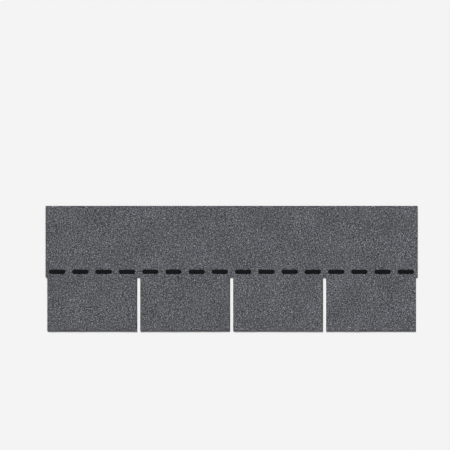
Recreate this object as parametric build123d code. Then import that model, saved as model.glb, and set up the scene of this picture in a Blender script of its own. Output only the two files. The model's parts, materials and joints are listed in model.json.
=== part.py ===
from build123d import *
from math import atan2, degrees
import os

# Four-tab asphalt strip shingle, lying flat with its granule face up.
# X runs along the course, +Y runs up the roof slope and Z runs up through the sheet.
# The origin is under the middle of the sheet, on the surface that it lies on.

# Sheet: one die-cut strip of glass mat, bitumen and mineral granules
TAB_COUNT = 4
TAB_PITCH = 250.0
TAB_DEPTH = 145.0
HEAD_DEPTH = 191.0
SHEET_THICKNESS = 3.0

# Slots that part the tabs; each end of the strip has half a slot, so that two strips make a whole one
SLOT_WIDTH = 9.5
SLOT_ROOT_RADIUS = 1.5

# Self-sealing bitumen, laid in dashes across the head just above the slots.
# Gaps fall over each slot and over the middle of each tab, where a slot of the next course would show a dash.
DASHES_PER_TAB = 4
DASH_GAP = 18.0
DASH_WIDTH = 12.0
DASH_HEIGHT = 0.9
DASH_SHOULDER = 2.5
DASH_SETBACK = 8.0

STRIP_LENGTH = TAB_COUNT * TAB_PITCH
STRIP_DEPTH = TAB_DEPTH + HEAD_DEPTH
BUTT_Y = -STRIP_DEPTH / 2
SLOT_ROOT_Y = BUTT_Y + TAB_DEPTH
LEFT_END_X = -STRIP_LENGTH / 2

DASH_PITCH = TAB_PITCH / DASHES_PER_TAB
DASH_LENGTH = DASH_PITCH - DASH_GAP
DASH_LINE_Y = SLOT_ROOT_Y + DASH_SETBACK + DASH_WIDTH / 2


def slot_outline():
    """The opening between two tabs, from the butt edge up to its rounded root."""
    opening = Rectangle(SLOT_WIDTH, TAB_DEPTH, align=(Align.CENTER, Align.MIN))
    root_corners = opening.vertices().group_by(Axis.Y)[-1]
    return fillet(root_corners, SLOT_ROOT_RADIUS)


def shingle_sheet():
    """The strip: a full-length head with the tabs hanging from it."""
    outline = Rectangle(STRIP_LENGTH, STRIP_DEPTH)
    for tab_edge in range(TAB_COUNT + 1):
        outline -= Pos(LEFT_END_X + tab_edge * TAB_PITCH, BUTT_Y) * slot_outline()
    return extrude(outline, SHEET_THICKNESS)


def sealant_dash():
    """One dash of sealant: a flat-topped bead with round ends and sloping shoulders all round."""
    shoulder_slope = degrees(atan2(DASH_SHOULDER, DASH_HEIGHT))
    return extrude(SlotOverall(DASH_LENGTH, DASH_WIDTH), DASH_HEIGHT, taper=shoulder_slope)


def sealant_dashes():
    """The whole line of dashes, seated on the granule face."""
    dash = sealant_dash()
    first_x = LEFT_END_X + DASH_PITCH / 2
    places = [first_x + index * DASH_PITCH for index in range(TAB_COUNT * DASHES_PER_TAB)]
    return Compound([Pos(x, DASH_LINE_Y, SHEET_THICKNESS) * dash for x in places])


os.makedirs("parts", exist_ok=True)
export_step(shingle_sheet(), "parts/shingle_sheet.step")
export_step(sealant_dashes(), "parts/sealant_dashes.step")
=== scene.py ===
import json
import math

import bpy
import numpy as np
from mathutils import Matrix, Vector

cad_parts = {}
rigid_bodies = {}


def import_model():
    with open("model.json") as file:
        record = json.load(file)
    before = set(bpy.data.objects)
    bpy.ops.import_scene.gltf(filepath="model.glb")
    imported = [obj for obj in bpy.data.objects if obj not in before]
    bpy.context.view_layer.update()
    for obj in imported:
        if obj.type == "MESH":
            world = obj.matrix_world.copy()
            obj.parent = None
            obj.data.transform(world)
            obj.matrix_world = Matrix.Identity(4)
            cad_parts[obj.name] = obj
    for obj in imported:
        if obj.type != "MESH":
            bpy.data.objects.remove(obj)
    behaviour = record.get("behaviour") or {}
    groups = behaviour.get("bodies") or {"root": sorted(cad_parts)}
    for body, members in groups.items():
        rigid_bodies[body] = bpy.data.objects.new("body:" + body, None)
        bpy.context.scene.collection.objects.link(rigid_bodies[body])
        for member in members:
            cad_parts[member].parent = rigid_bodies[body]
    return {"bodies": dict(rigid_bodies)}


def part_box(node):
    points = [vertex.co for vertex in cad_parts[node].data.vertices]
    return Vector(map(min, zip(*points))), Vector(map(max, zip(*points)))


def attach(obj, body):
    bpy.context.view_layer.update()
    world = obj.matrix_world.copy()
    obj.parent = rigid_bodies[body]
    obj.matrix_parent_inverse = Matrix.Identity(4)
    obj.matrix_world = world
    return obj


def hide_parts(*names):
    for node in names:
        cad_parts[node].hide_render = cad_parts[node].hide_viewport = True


# A four-tab asphalt strip shingle lying on a pale floor, seen from straight above with its butt edge below.
# Lengths are in metres, and MM turns a size in millimetres into metres.

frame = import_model()
[body] = frame["bodies"]
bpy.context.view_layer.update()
sheet_low, sheet_high = (np.array(corner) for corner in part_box("shingle_sheet"))
dash_low, dash_high = (np.array(corner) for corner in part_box("sealant_dashes"))

MM = 0.001
chance = np.random.default_rng(7)

# Outline of the strip
TAB_COUNT = 4
TAB_DEPTH = 145 * MM
SLOT_WIDTH = 9.5 * MM
SLOT_ROOT_RADIUS = 1.5 * MM
HALF_SLOT = SLOT_WIDTH / 2
TAB_PITCH = (sheet_high[0] - sheet_low[0]) / TAB_COUNT
SLOT_ROOT_Y = sheet_low[1] + TAB_DEPTH
slot_lines = sheet_low[0] + TAB_PITCH * np.arange(TAB_COUNT + 1)

# Coated mat under the granules
COAT_TOP = 2.45 * MM
COAT_SWELL = 0.12 * MM
SWELL_LENGTH = 90 * MM
EDGE_WANDER = 0.12 * MM
WANDER_LENGTH = 9 * MM

# Grid of the mat's plan. Columns are rounded to so many digits of a metre, so that equal ones fall together,
# and above a slot root they ease back to their even places over a short way.
GRID_STEP = 4 * MM
SLOT_STEPS = 4
ARC_STEPS = 5
ROOT_EASE = 12 * MM
COLUMN_DIGITS = 7
SAME_PLACE = 0.01 * MM

# Cut edge from the top down: rolled over, sheared, torn and ending in a burr.
# Each pair is a height, as a share of the coating's, and a reach beyond the plan.
EDGE_PROFILE = ((0.88, 0.16 * MM), (0.62, 0.22 * MM), (0.34, 0.10 * MM), (0.08, 0.18 * MM))
EDGE_TEAR = 0.08 * MM
TEAR_LENGTH = 5 * MM
MAT_HEIGHT = 1.2 * MM
MAT_THICKNESS = 1.1 * MM

# Granules, drawn a little coarser than the usual 1 to 1.5 mm grit so that they show.
# Pairs are the least and the most that a chip has, as a share of the size above them unless in millimetres.
CHIP_SPACING = 1.86 * MM
CHIP_CORNERS = 6
CHIP_FOOT = 1.52 * MM
CHIP_TOP = 0.90 * MM
CHIP_SIZES = (0.66, 1.26)
CORNER_REACHES = (0.75, 1.25)
CORNER_TURN = math.radians(20)
CHIP_HEIGHT = 0.55 * MM
CHIP_HEIGHTS = (0.7, 1.2)
CHIP_SUNK = 0.25 * MM
PRESSED_LEVEL = 0.76 * MM
TILT_SPREAD = math.radians(11.5)
TILT_MOST = math.radians(26)
BARE_MARGIN = (0.1 * MM, 1.3 * MM)

# Places along the side of a patch that shares its tones evenly, and the border of a chip's square on its map
PATCH_SIDE = 4
SQUARE_BORDER = 0.15

# Sealing dashes, with each ring's inset as a share of half the width and its rise as a share of the height
DASHES_PER_TAB = 4
DASH_GAP = 18 * MM
DASH_PITCH = TAB_PITCH / DASHES_PER_TAB
DASH_HALF_LENGTH = (DASH_PITCH - DASH_GAP) / 2
DASH_HALF_WIDTH = (dash_high[1] - dash_low[1]) / 2
DASH_MIDDLE_Y = (dash_high[1] + dash_low[1]) / 2
BEAD_STEP = 1.2 * MM
BEAD_FOOT = COAT_TOP + 0.1 * MM
BEAD_TOP = dash_high[2] - 0.15 * MM
BEAD_PROFILE = ((0.06, 0.0), (0.0, 0.25), (0.05, 0.6), (0.16, 0.84), (0.36, 0.96), (0.7, 1.0))
BEAD_WANDER = 0.35 * MM
BEAD_RIPPLE = 0.08
RIPPLE_LENGTH = 9 * MM

# Smooth unevenness: how many waves are added up, how high each is, and their least and most share of a length
WAVE_COUNT = 16
WAVE_HEIGHT = 0.2
WAVE_LENGTHS = (0.7, 1.5)

# Sizes of the patterns in the materials
CLOUD_SIZE = 90 * MM
FLECK_SIZE = 0.45 * MM
GRIT_SIZE = 0.7 * MM
FILLER_SIZE = 0.8 * MM
FIBRE_SIZE = 0.45 * MM
SAND_SIZE = 0.8 * MM
DRIFT_SIZE = 35 * MM
SKIN_SIZE = 3 * MM

# Most of a noise pattern's values lie between these
NOISE_LOW = 0.3
NOISE_HIGH = 0.7

# Sockets for colour on a mixing node, which has other sockets of the same names
MIX_SHARE = 0
MIX_FIRST = 6
MIX_SECOND = 7
MIX_RESULT = 2

# Refractive indexes
STONE_IOR = 1.55
BITUMEN_IOR = 1.57

# Where the course lies in the photograph, in pixels
PHOTO_SIDE = 450
PHOTO_TAB_PITCH = 93.0
PHOTO_STRIP_MIDDLE_X = 231.0
PHOTO_BUTT_Y = 330.4

# Floor, light and lens. The key light gives its share of what falls on a level surface, the fill the rest.
FLOOR_COLOUR = "#f4f4f4"
FLOOR_REACH = 40.0
FLOOR_LEVEL = -0.05 * MM
KEY_HEIGHT = math.radians(30)
KEY_HEADING = math.radians(110)
KEY_SHARE = 0.78
KEY_SOFTNESS = math.radians(6)
FOCAL_LENGTH = 85.0


# Mesh tools

def new_piece(name, points, faces, materials, face_materials=None, smooth=False):
    """A mesh at the origin from an array of points and an array of faces that all have the same number of
    corners. face_materials gives each face's material by its number."""
    mesh = bpy.data.meshes.new(name)
    corners = faces.shape[1]
    mesh.vertices.add(len(points))
    mesh.vertices.foreach_set("co", points.astype(np.float32).ravel())
    mesh.loops.add(faces.size)
    mesh.loops.foreach_set("vertex_index", faces.astype(np.int32).ravel())
    mesh.polygons.add(len(faces))
    mesh.polygons.foreach_set("loop_start", np.arange(0, faces.size, corners, dtype=np.int32))
    for material in materials:
        mesh.materials.append(material)
    if face_materials is not None:
        mesh.polygons.foreach_set("material_index", face_materials.astype(np.int32))
    mesh.polygons.foreach_set("use_smooth", np.full(len(faces), smooth))
    mesh.update(calc_edges=True)
    piece = bpy.data.objects.new(name, mesh)
    bpy.context.scene.collection.objects.link(piece)
    return piece


def waves(x, y, length, seed):
    """Smooth unevenness, mostly between -1 and 1: the sum of low plane waves of random heading and phase,
    with wave lengths that vary about the given one."""
    draw = np.random.default_rng(seed)
    shortest, longest = WAVE_LENGTHS
    total = np.zeros(np.broadcast(x, y).shape)
    draws = draw.uniform((0, 0, shortest), (2 * np.pi, 2 * np.pi, longest), (WAVE_COUNT, 3))
    for heading, phase, stretch in draws:
        along = x * np.cos(heading) + y * np.sin(heading)
        total += np.sin(2 * np.pi * along / (length * stretch) + phase)
    return WAVE_HEIGHT * total


def off_slot_line(x):
    """Distance along X from the nearest line that parts two tabs, with its sign."""
    nearest = np.clip(np.round((x - slot_lines[0]) / TAB_PITCH), 0, TAB_COUNT)
    return x - (slot_lines[0] + nearest * TAB_PITCH)


# Materials

def linear(hex_colour):
    """An sRGB colour such as #5e6066 as linear red, green, blue and alpha."""
    channels = [int(hex_colour[place:place + 2], 16) / 255 for place in (1, 3, 5)]
    return [c / 12.92 if c <= 0.04045 else ((c + 0.055) / 1.055) ** 2.4 for c in channels] + [1.0]


def add(tree, kind, inputs=None, stops=(), **settings):
    """Adds a node. inputs are values or other nodes' outputs for its sockets, settings are its
    properties, and stops are the places and hex colours of a colour ramp, which has two stops from the
    start."""
    node = tree.nodes.new("ShaderNode" + kind)
    for name, value in settings.items():
        setattr(node, name, value)
    for socket, value in (inputs or {}).items():
        if isinstance(value, bpy.types.NodeSocket):
            tree.links.new(value, node.inputs[socket])
        else:
            node.inputs[socket].default_value = value
    for place, _ in stops[2:]:
        node.color_ramp.elements.new(place)
    for number, (place, colour) in enumerate(stops):
        node.color_ramp.elements[number].position = place
        node.color_ramp.elements[number].color = linear(colour)
    return node


def new_material(name):
    """An empty node material, with its tree."""
    material = bpy.data.materials.new(name)
    material.use_nodes = True
    material.node_tree.nodes.clear()
    return material, material.node_tree


def fired_granules():
    """Crushed stone with a fired-on mineral colour: matt slate greys, one tone to a chip, flecked like
    stone and a little lighter or darker in wide clouds. Flecks and clouds are the same at every height,
    and a few chips are less matt than the rest."""
    material, tree = new_material("fired_granules")
    place = add(tree, "TexCoord")
    plan = add(tree, "Mapping", {"Vector": place.outputs["Object"], "Scale": (1, 1, 0)})
    tone = add(tree, "Attribute", attribute_name="tone")
    colour = add(tree, "ValToRGB", {"Fac": tone.outputs["Fac"]}, stops=(
        (0.00, "#343538"),
        (0.20, "#4e4f54"),
        (0.45, "#64656b"),
        (0.62, "#686970"),
        (0.80, "#7b7d84"),
        (0.93, "#91939a"),
        (1.00, "#b5b7bc"),
    ))
    levels = []
    for size, detail, swing in ((CLOUD_SIZE, 3.0, 0.14), (FLECK_SIZE, 2.0, 0.16)):
        noise = add(tree, "TexNoise", {"Vector": plan.outputs["Vector"], "Scale": 1 / size, "Detail": detail})
        levels.append(add(tree, "MapRange", {
            "Value": noise.outputs["Fac"],
            "From Min": NOISE_LOW,
            "From Max": NOISE_HIGH,
            "To Min": 1 - swing,
            "To Max": 1 + swing,
        }))
    cloud, fleck = levels
    level = add(tree, "Math", {0: cloud.outputs["Result"], 1: fleck.outputs["Result"]}, operation="MULTIPLY")
    shaded = add(tree, "Mix", {
        MIX_SHARE: 1.0,
        MIX_FIRST: colour.outputs["Color"],
        MIX_SECOND: level.outputs["Value"],
    }, data_type="RGBA", blend_type="MULTIPLY")
    lot = add(tree, "TexWhiteNoise", {"W": tone.outputs["Fac"]}, noise_dimensions="1D")
    gloss = add(tree, "MapRange", {"Value": lot.outputs["Value"], "To Min": 0.62, "To Max": 0.95})
    shader = add(tree, "BsdfPrincipled", {
        "Base Color": shaded.outputs[MIX_RESULT],
        "Roughness": gloss.outputs["Result"],
        "IOR": STONE_IOR,
        "Specular IOR Level": 0.3,
    })
    add(tree, "OutputMaterial", {"Surface": shader.outputs["BSDF"]})
    return material


def gritted_bitumen():
    """Bitumen coating between the granules: black, with fine grit pressed into it."""
    material, tree = new_material("gritted_bitumen")
    place = add(tree, "TexCoord")
    grit = add(tree, "TexVoronoi", {"Vector": place.outputs["Object"], "Scale": 1 / GRIT_SIZE})
    colour = add(tree, "ValToRGB", {"Fac": grit.outputs["Color"]}, stops=(
        (0.0, "#0f0f10"),
        (0.6, "#1a1a1c"),
        (1.0, "#3c3d41"),
    ))
    bump = add(tree, "Bump", {
        "Height": grit.outputs["Distance"],
        "Strength": 0.6,
        "Distance": 0.2 * MM,
    }, invert=True)
    shader = add(tree, "BsdfPrincipled", {
        "Base Color": colour.outputs["Color"],
        "Roughness": 0.85,
        "IOR": BITUMEN_IOR,
        "Specular IOR Level": 0.08,
        "Normal": bump.outputs["Normal"],
    })
    add(tree, "OutputMaterial", {"Surface": shader.outputs["BSDF"]})
    return material


def sheared_bitumen():
    """Die-cut edge of filled bitumen: black with specks of stone dust, and pale ends of glass fibre along
    the mat at mid height."""
    material, tree = new_material("sheared_bitumen")
    place = add(tree, "TexCoord")
    filler = add(tree, "TexNoise", {
        "Vector": place.outputs["Object"],
        "Scale": 1 / FILLER_SIZE,
        "Detail": 3.0,
    })
    black = add(tree, "ValToRGB", {"Fac": filler.outputs["Fac"]}, stops=(
        (0.32, "#0d0d0e"),
        (0.55, "#1c1c1d"),
        (0.74, "#4a4946"),
    ))
    fibre = add(tree, "TexNoise", {
        "Vector": place.outputs["Object"],
        "Scale": 1 / FIBRE_SIZE,
        "Detail": 1.0,
    })
    ends = add(tree, "MapRange", {"Value": fibre.outputs["Fac"], "From Min": 0.56, "From Max": 0.68})
    height = add(tree, "SeparateXYZ", {"Vector": place.outputs["Object"]})
    off_mat = add(tree, "Math", {0: height.outputs["Z"], 1: MAT_HEIGHT}, operation="SUBTRACT")
    near_mat = add(tree, "Math", {0: off_mat.outputs["Value"]}, operation="ABSOLUTE")
    in_mat = add(tree, "MapRange", {
        "Value": near_mat.outputs["Value"],
        "From Min": 0.0,
        "From Max": MAT_THICKNESS / 2,
        "To Min": 0.8,
        "To Max": 0.0,
    })
    shows = add(tree, "Math", {0: ends.outputs["Result"], 1: in_mat.outputs["Result"]}, operation="MULTIPLY")
    colour = add(tree, "Mix", {
        MIX_SHARE: shows.outputs["Value"],
        MIX_FIRST: black.outputs["Color"],
        MIX_SECOND: linear("#9a978e"),
    }, data_type="RGBA")
    bump = add(tree, "Bump", {"Height": filler.outputs["Fac"], "Strength": 0.7, "Distance": 0.4 * MM})
    shader = add(tree, "BsdfPrincipled", {
        "Base Color": colour.outputs[MIX_RESULT],
        "Roughness": 0.66,
        "IOR": BITUMEN_IOR,
        "Normal": bump.outputs["Normal"],
    })
    add(tree, "OutputMaterial", {"Surface": shader.outputs["BSDF"]})
    return material


def sanded_bitumen():
    """Underside dusted with fine sand so that strips don't stick together: dry grey grains, one tone to a
    grain, thicker in some places than in others on the black coating. Each grain is painted darker towards
    its rim, as painted shade in the gaps between rounded grains. Grains are drawn coarser than real
    ones so that they show."""
    material, tree = new_material("sanded_bitumen")
    place = add(tree, "TexCoord")
    grain = add(tree, "TexVoronoi", {"Vector": place.outputs["Object"], "Scale": 1 / SAND_SIZE})
    drift = add(tree, "TexNoise", {
        "Vector": place.outputs["Object"],
        "Scale": 1 / DRIFT_SIZE,
        "Detail": 5.0,
        "Roughness": 0.65,
    })
    cover = add(tree, "MapRange", {
        "Value": drift.outputs["Fac"],
        "From Min": NOISE_LOW,
        "From Max": NOISE_HIGH,
        "To Min": -0.22,
        "To Max": 0.22,
    })
    lot = add(tree, "SeparateXYZ", {"Vector": grain.outputs["Color"]})
    tone = add(tree, "Math", {0: lot.outputs["X"], 1: cover.outputs["Result"]}, operation="ADD")
    # Painted shade: each grain's colour darkens from its middle towards its rim, as if the gaps between
    # rounded grains were in shade
    painted_grain_shade = add(tree, "MapRange", {
        "Value": grain.outputs["Distance"],
        "From Min": 0.25,
        "From Max": 0.75,
        "To Min": 0.0,
        "To Max": 0.6,
    })
    level = add(tree, "Math", {0: tone.outputs["Value"], 1: painted_grain_shade.outputs["Result"]}, operation="SUBTRACT")
    colour = add(tree, "ValToRGB", {"Fac": level.outputs["Value"]}, stops=(
        (0.05, "#1d1d1e"),
        (0.35, "#363534"),
        (0.65, "#54524e"),
        (0.95, "#89857b"),
    ))
    bump = add(tree, "Bump", {
        "Height": grain.outputs["Distance"],
        "Strength": 0.5,
        "Distance": 0.25 * MM,
    }, invert=True)
    shader = add(tree, "BsdfPrincipled", {
        "Base Color": colour.outputs["Color"],
        "Roughness": 0.92,
        "IOR": STONE_IOR,
        "Normal": bump.outputs["Normal"],
    })
    add(tree, "OutputMaterial", {"Surface": shader.outputs["BSDF"]})
    return material


def tacky_bitumen():
    """Soft polymer bitumen laid on hot: deep black with a slightly uneven sheen."""
    material, tree = new_material("tacky_bitumen")
    place = add(tree, "TexCoord")
    skin = add(tree, "TexNoise", {"Vector": place.outputs["Object"], "Scale": 1 / SKIN_SIZE, "Detail": 3.0})
    gloss = add(tree, "MapRange", {
        "Value": skin.outputs["Fac"],
        "From Min": NOISE_LOW,
        "From Max": NOISE_HIGH,
        "To Min": 0.64,
        "To Max": 0.88,
    })
    colour = add(tree, "ValToRGB", {"Fac": skin.outputs["Fac"]}, stops=(
        (NOISE_LOW, "#0c0c0d"),
        (NOISE_HIGH, "#19191b"),
    ))
    bump = add(tree, "Bump", {"Height": skin.outputs["Fac"], "Strength": 0.4, "Distance": 0.4 * MM})
    shader = add(tree, "BsdfPrincipled", {
        "Base Color": colour.outputs["Color"],
        "Roughness": gloss.outputs["Result"],
        "IOR": BITUMEN_IOR,
        "Specular IOR Level": 0.04,
        "Normal": bump.outputs["Normal"],
    })
    add(tree, "OutputMaterial", {"Surface": shader.outputs["BSDF"]})
    return material


def floor_paint():
    """Dead matt off-white paint."""
    material, tree = new_material("floor_paint")
    shader = add(tree, "BsdfPrincipled", {
        "Base Color": linear(FLOOR_COLOUR),
        "Roughness": 0.9,
        "Specular IOR Level": 0.0,
    })
    add(tree, "OutputMaterial", {"Surface": shader.outputs["BSDF"]})
    return material


# Coated mat

def coat_height(x, y):
    """Height of the coating's top, which swells and sinks a little."""
    return COAT_TOP + COAT_SWELL * waves(x, y, SWELL_LENGTH, seed=21)


def even_steps(start, stop):
    """Places from start to stop at even steps of about the grid's step."""
    return np.linspace(start, stop, round((stop - start) / GRID_STEP) + 1)


def sheet_grid():
    """Columns and rows of the sheet's grid: even steps over the tabs and the head, a few across each
    slot, and rows that follow the arc at the slot roots."""
    columns = [even_steps(line + HALF_SLOT, line + TAB_PITCH - HALF_SLOT) for line in slot_lines[:-1]]
    columns += [np.linspace(line - HALF_SLOT, line + HALF_SLOT, SLOT_STEPS + 1) for line in slot_lines]
    columns = np.unique(np.concatenate(columns).round(COLUMN_DIGITS))
    columns = columns[(columns >= slot_lines[0]) & (columns <= slot_lines[-1])]
    arc_start = SLOT_ROOT_Y - SLOT_ROOT_RADIUS
    arc = arc_start + SLOT_ROOT_RADIUS * np.sin(np.linspace(0, np.pi / 2, ARC_STEPS + 1))
    tab_rows = even_steps(sheet_low[1], arc_start)
    head_rows = even_steps(SLOT_ROOT_Y, sheet_high[1])
    return columns, np.concatenate([tab_rows[:-1], arc, head_rows[1:]])


def slot_half_width(y):
    """Half the width between the columns at a slot's sides: even up to the root arc, narrowed along a
    quarter circle, and easing back to even above the root."""
    rise = np.clip(y - SLOT_ROOT_Y + SLOT_ROOT_RADIUS, 0, SLOT_ROOT_RADIUS)
    narrowed = SLOT_ROOT_RADIUS - np.sqrt(SLOT_ROOT_RADIUS**2 - rise**2)
    eased = np.clip(1 - (y - SLOT_ROOT_Y) / ROOT_EASE, 0, 1)
    return HALF_SLOT - narrowed * eased


def sheet_plan():
    """The strip's plan as points and four-cornered cells: a grid without the cells in the slots, drawn in
    beside each slot root to its arc. Every point wanders a little, so no cut edge is quite straight."""
    columns, rows = sheet_grid()
    x, y = np.meshgrid(columns, rows)
    offset = off_slot_line(x)
    by_slot = np.abs(offset) < HALF_SLOT + SAME_PLACE
    x = np.where(by_slot, x - offset + offset * slot_half_width(y) / HALF_SLOT, x)
    wander_x = EDGE_WANDER * waves(x, y, WANDER_LENGTH, seed=22)
    wander_y = EDGE_WANDER * waves(x, y, WANDER_LENGTH, seed=23)
    plan = np.stack([x + wander_x, y + wander_y], -1).clip(sheet_low[:2], sheet_high[:2])

    number = np.arange(x.size).reshape(x.shape)
    cells = np.stack([number[:-1, :-1], number[:-1, 1:], number[1:, 1:], number[1:, :-1]], -1)
    open_column = np.abs(off_slot_line((columns[:-1] + columns[1:]) / 2)) < HALF_SLOT
    open_row = (rows[:-1] + rows[1:]) / 2 < SLOT_ROOT_Y
    used, cells = np.unique(cells[~(open_row[:, None] & open_column)], return_inverse=True)
    return plan.reshape(-1, 2)[used], cells.reshape(-1, 4)


def free_edges(cells):
    """The cells' edges that no other cell walks the other way, each from its start to its end."""
    walk = np.stack([cells, np.roll(cells, -1, axis=1)], -1).reshape(-1, 2)
    span = cells.max() + 1
    forth = walk[:, 0] * span + walk[:, 1]
    back = walk[:, 1] * span + walk[:, 0]
    return walk[~np.isin(forth, back)]


def outward_at_rim(rim_points, rim_edges):
    """The way out of the plan at each point of its rim: the mean of its two edges, each turned right."""
    run = rim_points[rim_edges[:, 1]] - rim_points[rim_edges[:, 0]]
    right = np.stack([run[:, 1], -run[:, 0]], 1)
    outward = np.zeros_like(rim_points)
    np.add.at(outward, rim_edges.ravel(), np.repeat(right, 2, axis=0))
    return outward / np.linalg.norm(outward, axis=1)[:, None]


def coated_mat(materials):
    """The sheet under the granules: its plan once as the top and once as the underside, and between them
    a cut edge, which is a short profile carried along the plan's rim. The materials are the top's, the
    underside's and the edge's."""
    plan, cells = sheet_plan()
    rim, rim_edges = np.unique(free_edges(cells), return_inverse=True)
    rim_edges = rim_edges.reshape(-1, 2)
    outward = outward_at_rim(plan[rim], rim_edges)
    points = [
        np.column_stack([plan, coat_height(*plan.T)]),
        np.column_stack([plan, np.full(len(plan), sheet_low[2])]),
    ]
    levels = [rim]
    for place, (height, reach) in enumerate(EDGE_PROFILE):
        torn = EDGE_TEAR * waves(*plan[rim].T, TEAR_LENGTH, seed=40 + place)
        edge = plan[rim] + outward * (reach + torn)[:, None]
        points.append(np.column_stack([edge, np.full(len(rim), height * COAT_TOP)]))
        levels.append(2 * len(plan) + place * len(rim) + np.arange(len(rim)))
    levels.append(len(plan) + rim)
    begin, end = rim_edges.T
    walls = np.concatenate([
        np.stack([lower[begin], lower[end], upper[end], upper[begin]], 1)
        for upper, lower in zip(levels[:-1], levels[1:])
    ])
    faces = np.concatenate([cells, cells[:, ::-1] + len(plan), walls])
    face_materials = np.repeat([0, 1, 2], [len(cells), len(cells), len(walls)])
    piece = new_piece("coated_mat", np.concatenate(points), faces, materials, face_materials)
    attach(piece, body)
    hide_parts("shingle_sheet")


# Granules

def mixed_tones(rows, columns):
    """A tone from 0 to 1 for each place of a grid. The stone is well mixed before it is dropped, so the
    places of each square patch share the tones evenly: one tone from each equal part of the range, in
    random order."""
    parts = PATCH_SIDE**2
    down, over = math.ceil(rows / PATCH_SIDE), math.ceil(columns / PATCH_SIDE)
    order = chance.permuted(np.tile(np.arange(parts), (down, over, 1)), axis=-1)
    patches = order.reshape(down, over, PATCH_SIDE, PATCH_SIDE).swapaxes(1, 2)
    part = patches.reshape(down * PATCH_SIDE, over * PATCH_SIDE)[:rows, :columns]
    return (part + chance.uniform(0, 1, part.shape)) / parts


def chip_places():
    """A hexagonal lattice over the sheet, each point moved at random by up to half a spacing, less what
    falls off the sheet or within a random margin of a cut edge. Returns each place's x, y and tone."""
    row_step = CHIP_SPACING * math.sqrt(3) / 2
    ys = np.arange(sheet_low[1], sheet_high[1], row_step)
    xs = np.arange(sheet_low[0], sheet_high[0], CHIP_SPACING)
    x, y = np.meshgrid(xs, ys)
    x = x + CHIP_SPACING / 2 * (np.arange(len(ys)) % 2)[:, None]
    x = x + CHIP_SPACING * chance.uniform(-0.5, 0.5, x.shape)
    y = y + CHIP_SPACING * chance.uniform(-0.5, 0.5, y.shape)
    tone = mixed_tones(*x.shape)
    margin = chance.uniform(*BARE_MARGIN, x.shape)
    on_strip = np.minimum(x - sheet_low[0], sheet_high[0] - x) > margin
    on_strip &= np.minimum(y - sheet_low[1], sheet_high[1] - y) > margin
    on_strip &= (y > SLOT_ROOT_Y + margin) | (np.abs(off_slot_line(x)) > HALF_SLOT + margin)
    return x[on_strip], y[on_strip], tone[on_strip]


def cut_to_outline(x, y, dx, dy):
    """Corners at dx and dy from their chips' middles, moved straight back to the strip's outline where
    they would stand over a cut edge: the die shears such chips flush."""
    corner_x = np.clip(x + dx, sheet_low[0], sheet_high[0])
    corner_y = np.clip(y + dy, sheet_low[1], sheet_high[1])
    offset = off_slot_line(corner_x)
    in_slot = (corner_y < SLOT_ROOT_Y) & (np.abs(offset) < HALF_SLOT)
    on_tab = y < SLOT_ROOT_Y
    slot_side = corner_x - offset + np.sign(off_slot_line(x)) * HALF_SLOT
    cut_x = np.where(in_slot & on_tab, slot_side, corner_x)
    cut_y = np.where(in_slot & ~on_tab, SLOT_ROOT_Y, corner_y)
    return cut_x, cut_y


def stone_chips(x, y):
    """One angular chip on each middle: two triangles, the upper one smaller, tilted and turned by 60
    degrees, with every corner's angle and radius varied. Rollers have pressed the highest corners level.
    Returns each chip's corners in turn round its middle: even ones are upper and odd ones lower."""
    count = len(x)
    upper = np.arange(CHIP_CORNERS) % 2 == 0
    size = chance.uniform(*CHIP_SIZES, count)[:, None]
    heading = chance.uniform(0, 2 * np.pi, count)[:, None]
    turn = chance.uniform(-CORNER_TURN, CORNER_TURN, (count, CHIP_CORNERS))
    angle = heading + np.arange(CHIP_CORNERS) * 2 * np.pi / CHIP_CORNERS + turn
    reach = np.where(upper, CHIP_TOP, CHIP_FOOT) * chance.uniform(*CORNER_REACHES, angle.shape) * size
    dx, dy = reach * np.cos(angle), reach * np.sin(angle)
    slope_x, slope_y = np.tan(chance.normal(0, TILT_SPREAD, (2, count, 1)).clip(-TILT_MOST, TILT_MOST))
    height = CHIP_HEIGHT * chance.uniform(*CHIP_HEIGHTS, count)[:, None] + slope_x * dx + slope_y * dy
    lift = np.where(upper, np.minimum(height, PRESSED_LEVEL), -CHIP_SUNK)
    cut_x, cut_y = cut_to_outline(x[:, None], y[:, None], dx, dy)
    return np.stack([cut_x, cut_y, coat_height(x, y)[:, None] + lift], -1)


def chip_faces():
    """The corners of a chip's faces: its top, its foot and two faces on each of its three sides."""
    faces = [(0, 2, 4), (1, 5, 3)]
    for upper in (0, 2, 4):
        lower = upper + 1
        next_upper = (upper + 2) % CHIP_CORNERS
        next_lower = (upper + 3) % CHIP_CORNERS
        faces.append((upper, lower, next_upper))
        faces.append((lower, next_lower, next_upper))
    return np.array(faces)


def own_squares(chips):
    """A map on which each chip, seen from above and stretched to fit, has a square of its own. The
    squares lie in rows and columns, and each has a bare border."""
    across = math.ceil(math.sqrt(len(chips)))
    row, column = np.divmod(np.arange(len(chips)), across)
    plan = chips[:, :, :2]
    share = (plan - plan.min(1, keepdims=True)) / np.ptp(plan, axis=1, keepdims=True)
    square = np.stack([column, row], 1)[:, None]
    return (square + SQUARE_BORDER + (1 - 2 * SQUARE_BORDER) * share) / across


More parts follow.
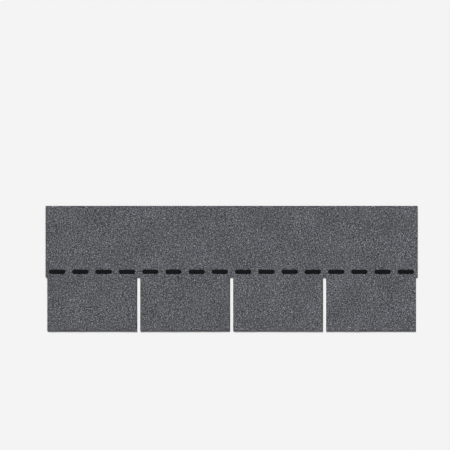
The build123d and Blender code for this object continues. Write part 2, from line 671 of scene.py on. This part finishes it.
def granule_fields(material):
    """The chips in one joined mesh for each tab and for the head above each tab, with each chip's tone as
    an attribute and a map with a square for each chip."""
    x, y, tone = chip_places()
    chips = stone_chips(x, y)
    column = np.clip((x - sheet_low[0]) // TAB_PITCH, 0, TAB_COUNT - 1)
    for zone, in_zone in (("tab", y < SLOT_ROOT_Y), ("head", y >= SLOT_ROOT_Y)):
        for tab in range(TAB_COUNT):
            chosen = in_zone & (column == tab)
            first_corner = CHIP_CORNERS * np.arange(chosen.sum())[:, None, None]
            faces = (first_corner + chip_faces()).reshape(-1, 3)
            piece = new_piece(f"granules_{zone}_{tab + 1}", chips[chosen].reshape(-1, 3), faces, [material])
            tones = piece.data.attributes.new("tone", "FLOAT", "POINT")
            tones.data.foreach_set("value", np.repeat(tone[chosen], CHIP_CORNERS).astype(np.float32))
            squares = own_squares(chips[chosen]).reshape(-1, 2)
            chip_map = piece.data.uv_layers.new(name="OFBake")
            chip_map.data.foreach_set("uv", squares[faces.ravel()].astype(np.float32).ravel())
            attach(piece, body)


# Sealing dashes

def bead_outline():
    """Upper half of a dash's outline seen from above: a quarter turn, a straight run and a quarter turn,
    at even steps. Returns the turn at each step and the middle that it turns about, along the dash."""
    quarter = DASH_HALF_WIDTH * np.pi / 2
    spine = DASH_HALF_LENGTH - DASH_HALF_WIDTH
    length = 2 * quarter + 2 * spine
    steps = round(length / BEAD_STEP)
    along = (np.arange(steps) + 0.5) / steps * length
    turned = np.clip(along, 0, quarter) + np.clip(along - quarter - 2 * spine, 0, quarter)
    return turned / DASH_HALF_WIDTH, spine - np.clip(along - quarter, 0, 2 * spine)


def sealing_beads(material):
    """All dashes in one mesh. A dash is a stack of rings of the same outline, inset and raised by a short
    profile and wandering a little. The lowest and the highest ring are bridged straight across."""
    turn, shift = bead_outline()
    turn, shift = np.append(turn, -turn[::-1]), np.append(shift, shift[::-1])
    around = len(turn)
    middles = sheet_low[0] + DASH_PITCH * (np.arange(TAB_COUNT * DASHES_PER_TAB) + 0.5)
    inset, rise = np.array(BEAD_PROFILE).T[:, None, :, None]
    reach = DASH_HALF_WIDTH * (1 - inset)
    x, y = np.broadcast_arrays(
        middles[:, None, None] + shift + reach * np.cos(turn),
        DASH_MIDDLE_Y + reach * np.sin(turn),
    )
    ripple = 1 + BEAD_RIPPLE * waves(x, y, RIPPLE_LENGTH, seed=61)
    points = np.stack([
        x + BEAD_WANDER * waves(x, y, RIPPLE_LENGTH, seed=62),
        y + BEAD_WANDER * waves(x, y, RIPPLE_LENGTH, seed=63),
        np.minimum(BEAD_FOOT + ripple * rise * (BEAD_TOP - BEAD_FOOT), dash_high[2]),
    ], -1)
    rings = np.arange(x.size).reshape(x.shape)
    low, high = rings[:, :-1], rings[:, 1:]
    onward = np.roll(np.arange(around), -1)
    step = np.arange(around // 2 - 1)
    across = np.stack([step, step + 1, around - 2 - step, around - 1 - step], -1)
    faces = np.concatenate([
        np.stack([low, low[..., onward], high[..., onward], high], -1).reshape(-1, 4),
        rings[:, -1][:, across].reshape(-1, 4),
        rings[:, 0][:, across[:, ::-1]].reshape(-1, 4),
    ])
    piece = new_piece("sealing_beads", points.reshape(-1, 3), faces, [material], smooth=True)
    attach(piece, body)
    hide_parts("sealant_dashes")


# Stage

def lay_floor(material):
    """A wide floor just under the sheet."""
    corners = np.array([
        (-FLOOR_REACH, -FLOOR_REACH, FLOOR_LEVEL),
        (FLOOR_REACH, -FLOOR_REACH, FLOOR_LEVEL),
        (FLOOR_REACH, FLOOR_REACH, FLOOR_LEVEL),
        (-FLOOR_REACH, FLOOR_REACH, FLOOR_LEVEL),
    ])
    new_piece("floor", corners, np.array([[0, 1, 2, 3]]), [material])


def set_lights():
    """A low key light from the upper left, as in the photograph, and an even fill from all round.
    Together they light a level surface at strength 1. The backdrop past the floor is as bright as the
    floor, whether it is seen straight, mirrored or through something clear."""
    key = bpy.data.lights.new("key", "SUN")
    key.energy = KEY_SHARE * math.pi / math.sin(KEY_HEIGHT)
    key.angle = KEY_SOFTNESS
    lamp = bpy.data.objects.new("key", key)
    lamp.rotation_euler = (0, math.pi / 2 - KEY_HEIGHT, KEY_HEADING)
    bpy.context.scene.collection.objects.link(lamp)
    world = bpy.data.worlds.new("studio")
    world.use_nodes = True
    tree = world.node_tree
    tree.nodes.clear()
    rays = add(tree, "LightPath")
    mirrored = add(tree, "Math", {
        0: rays.outputs["Is Camera Ray"],
        1: rays.outputs["Is Glossy Ray"],
    }, operation="MAXIMUM")
    seen = add(tree, "Math", {
        0: mirrored.outputs["Value"],
        1: rays.outputs["Is Transmission Ray"],
    }, operation="MAXIMUM")
    strength = add(tree, "MapRange", {
        "Value": seen.outputs["Value"],
        "To Min": 1 - KEY_SHARE,
        "To Max": linear(FLOOR_COLOUR)[0],
    })
    sky = add(tree, "Background", {"Color": (1, 1, 1, 1), "Strength": strength.outputs["Result"]})
    add(tree, "OutputWorld", {"Surface": sky.outputs["Background"]})
    bpy.context.scene.world = world


def set_camera():
    """Straight above, at the height and place where the tabs fall on one course of the photograph."""
    pixel = TAB_PITCH / PHOTO_TAB_PITCH
    middle = (PHOTO_SIDE - 1) / 2
    lens = bpy.data.cameras.new("camera")
    lens.lens = FOCAL_LENGTH
    camera = bpy.data.objects.new("camera", lens)
    camera.location = (
        -(PHOTO_STRIP_MIDDLE_X - middle) * pixel,
        sheet_low[1] + (PHOTO_BUTT_Y - middle) * pixel,
        sheet_high[2] + PHOTO_SIDE * pixel * FOCAL_LENGTH / lens.sensor_width,
    )
    bpy.context.scene.collection.objects.link(camera)
    bpy.context.scene.camera = camera


# The part and its stage

coated_mat([gritted_bitumen(), sanded_bitumen(), sheared_bitumen()])
granule_fields(fired_granules())
sealing_beads(tacky_bitumen())
lay_floor(floor_paint())
set_lights()
set_camera()
bpy.context.scene.view_settings.view_transform = "Standard"
